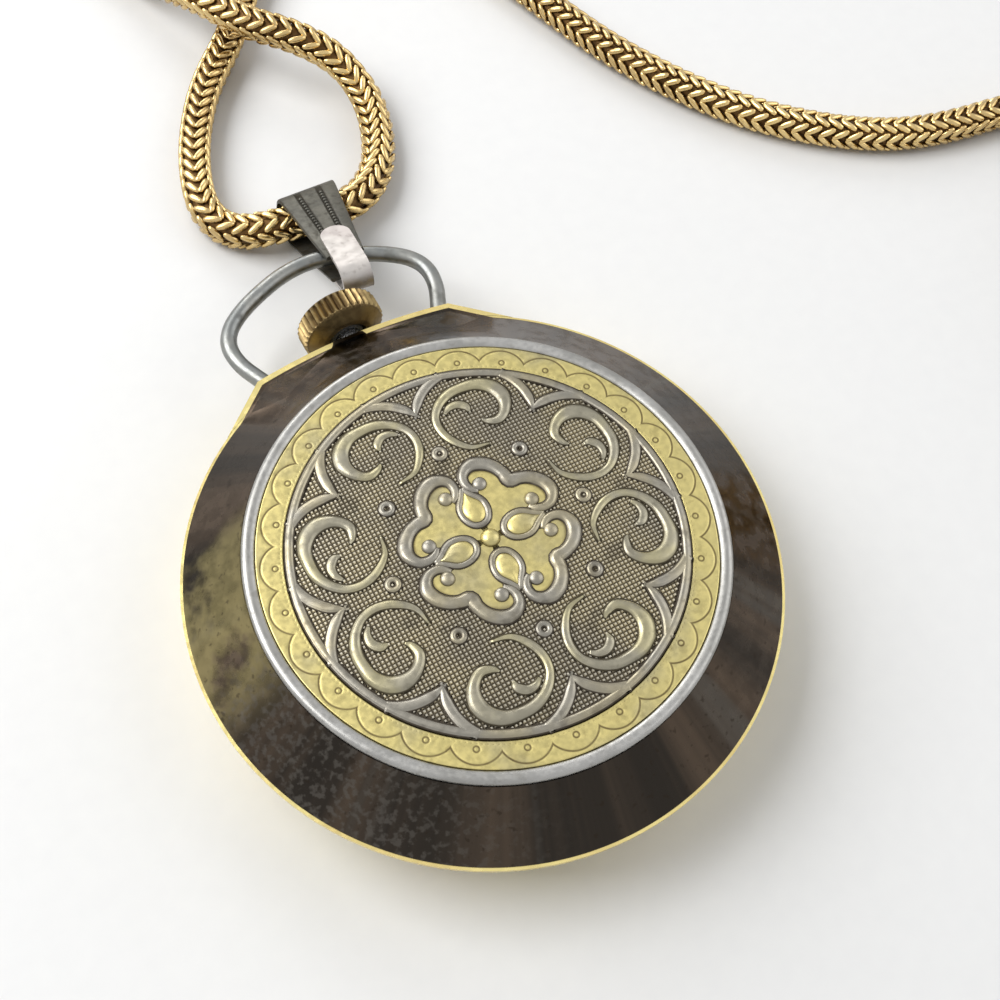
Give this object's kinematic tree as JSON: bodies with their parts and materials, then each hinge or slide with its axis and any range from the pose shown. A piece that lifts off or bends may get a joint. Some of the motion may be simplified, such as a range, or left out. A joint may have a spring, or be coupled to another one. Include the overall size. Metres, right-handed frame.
{
  "type": "pendant watch",
  "caption": "Round pendant watch lying face down on its neck chain, its domed back set with a scrollwork medallion, with bow, fluted crown and folded bail.",
  "frame": {"origin": "centre of the crystal's flat outer face, on which the watch lies", "axes": "+Z out of the ornamented back, +Y to twelve o'clock, crown and bow, +X to the right as seen from the back"},
  "size_m": [0.1095, 0.0959, 0.0084],
  "materials": {
    "back_steel": "dark polished",
    "gold_trim": "polished pale gold plate",
    "silver_rim": "polished",
    "medallion_relief": "struck two-tone relief, antiqued",
    "bow_steel": "worn polished wire",
    "crown_bronze": "fluted, worn",
    "bail_leaf_steel": "milled dark steel",
    "bail_strap_silver": "polished",
    "chain_gold": "pale gold links",
    "crystal_clear": "clear polished",
    "seal_rubber": "matte",
    "dial_lacquer": "satin lacquer",
    "hand_gilt": "polished gilt",
    "plate_nickel": "nickel plated, striped",
    "wheel_brass": "gilt",
    "bright_steel": "polished",
    "spring_steel": "blued",
    "ruby": "polished synthetic ruby"
  },
  "bodies": {
    "case": {"case_middle": "gold_trim", "case_back": "back_steel", "medallion_rim": "silver_rim", "back_medallion": "medallion_relief", "front_bezel": "gold_trim", "crystal": "crystal_clear", "crystal_gasket": "seal_rubber", "dial_ring": "dial_lacquer", "dial": "dial_lacquer", "hour_markers": "hand_gilt", "movement_ring": "plate_nickel", "pendant_plate": "gold_trim", "bow": "bow_steel", "crown_tube": "bright_steel", "main_plate": "plate_nickel", "barrel_bridge": "plate_nickel", "train_bridge": "plate_nickel", "pallet_bridge": "plate_nickel", "balance_cock": "plate_nickel", "jewels": "ruby", "movement_screws": "spring_steel", "case_clamps": "bright_steel", "plate_posts": "bright_steel", "hairspring": "spring_steel", "chain_short_strand": "chain_gold", "chain_long_strand": "chain_gold", "chain_coil": "chain_gold", "chain_tail": "chain_gold", "chain_end_caps": "chain_gold", "jump_rings": "chain_gold", "clasp_ring": "chain_gold"},
    "crown_seal": {"crown_gasket": "seal_rubber"},
    "crown": {"crown": "crown_bronze", "winding_stem": "bright_steel"},
    "clutch": {"sliding_clutch": "bright_steel"},
    "setting_lever": {"setting_lever": "bright_steel"},
    "yoke": {"yoke": "bright_steel"},
    "winding_pinion": {"winding_pinion": "bright_steel"},
    "crown_wheel": {"crown_wheel": "bright_steel"},
    "ratchet": {"ratchet_wheel": "bright_steel", "barrel_arbor": "bright_steel"},
    "click": {"click": "bright_steel"},
    "barrel": {"mainspring_barrel": "wheel_brass", "mainspring": "spring_steel"},
    "center_wheel": {"center_wheel": "wheel_brass"},
    "third_wheel": {"third_wheel": "wheel_brass"},
    "fourth_wheel": {"fourth_wheel": "wheel_brass"},
    "escape_wheel": {"escape_wheel": "bright_steel"},
    "pallet_fork": {"pallet_fork": "bright_steel"},
    "balance": {"balance_wheel": "wheel_brass"},
    "minute": {"cannon_pinion": "bright_steel", "minute_hand": "hand_gilt"},
    "minute_wheel": {"minute_wheel": "wheel_brass"},
    "hour": {"hour_wheel": "wheel_brass", "hour_hand": "hand_gilt"},
    "setting_wheel": {"setting_wheel": "bright_steel"},
    "bail": {"bail_leaf": "bail_leaf_steel", "bail_strap": "bail_strap_silver"},
    "clasp_bolt": {"clasp_bolt": "chain_gold"}
  },
  "joints": [
    {"name": "crown_pull", "type": "slide", "parent": "case", "child": "crown_seal", "axis": [0, 1, 0], "range_m": [0, 0.0006]},
    {"name": "crown_turn", "type": "hinge", "parent": "crown_seal", "child": "crown", "pos_m": [0, 0.0172, 0.0042], "axis": [0, 1, 0], "continuous": true},
    {"name": "clutch_slide", "type": "slide", "parent": "crown", "child": "clutch", "axis": [0, 1, 0], "range_m": [-0.00132, 0]},
    {"name": "setting_lever_turn", "type": "hinge", "parent": "case", "child": "setting_lever", "pos_m": [-0.002, 0.0101, 0], "axis": [0, 0, 1], "range_deg": [0, 17.06]},
    {"name": "yoke_turn", "type": "hinge", "parent": "case", "child": "yoke", "pos_m": [0.0026, 0.00741, 0], "axis": [0, 0, 1], "range_deg": [0, 15.77]},
    {"name": "winding_pinion_turn", "type": "hinge", "parent": "case", "child": "winding_pinion", "pos_m": [0, 0.00857, 0.0042], "axis": [0, 1, 0], "continuous": true},
    {"name": "crown_wheel_turn", "type": "hinge", "parent": "case", "child": "crown_wheel", "pos_m": [0, 0.00629, 0], "axis": [0, 0, 1], "continuous": true},
    {"name": "ratchet_turn", "type": "hinge", "parent": "case", "child": "ratchet", "pos_m": [-0.00418, 0.00242, 0], "axis": [0, 0, 1], "continuous": true},
    {"name": "click_turn", "type": "hinge", "parent": "case", "child": "click", "pos_m": [-0.00802, 0.00037, 0], "axis": [0, 0, 1], "range_deg": [-8, 0], "stiffness_Nm_per_rad": 0.000001},
    {"name": "barrel_turn", "type": "hinge", "parent": "case", "child": "barrel", "pos_m": [-0.00418, 0.00242, 0], "axis": [0, 0, 1], "continuous": true},
    {"name": "center_wheel_turn", "type": "hinge", "parent": "case", "child": "center_wheel", "pos_m": [0, 0, 0], "axis": [0, 0, 1], "continuous": true},
    {"name": "third_wheel_turn", "type": "hinge", "parent": "case", "child": "third_wheel", "pos_m": [0.00352, -0.00076, 0], "axis": [0, 0, 1], "continuous": true},
    {"name": "fourth_wheel_turn", "type": "hinge", "parent": "case", "child": "fourth_wheel", "pos_m": [0.00542, -0.00316, 0], "axis": [0, 0, 1], "continuous": true},
    {"name": "escape_wheel_turn", "type": "hinge", "parent": "case", "child": "escape_wheel", "pos_m": [0.00362, -0.00531, 0], "axis": [0, 0, 1], "continuous": true},
    {"name": "pallet_fork_swing", "type": "hinge", "parent": "case", "child": "pallet_fork", "pos_m": [0.0015, -0.00588, 0], "axis": [0, 0, 1], "range_deg": [-5, 5]},
    {"name": "balance_swing", "type": "hinge", "parent": "case", "child": "balance", "pos_m": [-0.0012, -0.0066, 0], "axis": [0, 0, 1], "range_deg": [-135, 135], "stiffness_Nm_per_rad": 0.00000009},
    {"name": "minute_hand_turn", "type": "hinge", "parent": "case", "child": "minute", "pos_m": [0, 0, 0], "axis": [0, 0, 1], "continuous": true},
    {"name": "minute_wheel_turn", "type": "hinge", "parent": "case", "child": "minute_wheel", "pos_m": [0.00191, 0.00216, 0], "axis": [0, 0, 1], "continuous": true},
    {"name": "hour_hand_turn", "type": "hinge", "parent": "case", "child": "hour", "pos_m": [0, 0, 0], "axis": [0, 0, 1], "continuous": true},
    {"name": "setting_wheel_turn", "type": "hinge", "parent": "case", "child": "setting_wheel", "pos_m": [0, 0.00455, 0], "axis": [0, 0, 1], "continuous": true},
    {"name": "bail_swing", "type": "hinge", "parent": "case", "child": "bail", "pos_m": [0.0023, 0.02294, 0.0042], "axis": [0.9009, -0.434, 0], "range_deg": [0, 120], "deforming": ["chain_short_strand", "chain_long_strand"]},
    {"name": "clasp_bolt_slide", "type": "hinge", "parent": "case", "child": "clasp_bolt", "pos_m": [-0.00925, 0.07102, 0.0008], "axis": [0, 0, 1], "range_deg": [0, 60], "stiffness_Nm_per_rad": 0.00001}
  ],
  "couplings": [
    {"joint": "clutch_slide", "follows": "crown_pull", "ratio": -2.2},
    {"joint": "setting_lever_turn", "follows": "crown_pull", "rad_per_m": 496.3},
    {"joint": "yoke_turn", "follows": "crown_pull", "rad_per_m": 458.62},
    {"joint": "winding_pinion_turn", "follows": "crown_turn", "ratio": 1},
    {"joint": "crown_wheel_turn", "follows": "crown_turn", "ratio": -0.625},
    {"joint": "ratchet_turn", "follows": "crown_turn", "ratio": 0.45455},
    {"joint": "third_wheel_turn", "follows": "fourth_wheel_turn", "ratio": -0.13333},
    {"joint": "center_wheel_turn", "follows": "fourth_wheel_turn", "ratio": 0.016667},
    {"joint": "barrel_turn", "follows": "fourth_wheel_turn", "ratio": -0.0027778},
    {"joint": "escape_wheel_turn", "follows": "fourth_wheel_turn", "ratio": -10},
    {"joint": "minute_wheel_turn", "follows": "minute_hand_turn", "ratio": -0.33333},
    {"joint": "hour_hand_turn", "follows": "minute_hand_turn", "ratio": 0.083333},
    {"joint": "setting_wheel_turn", "follows": "minute_hand_turn", "ratio": 0.8}
  ]
}
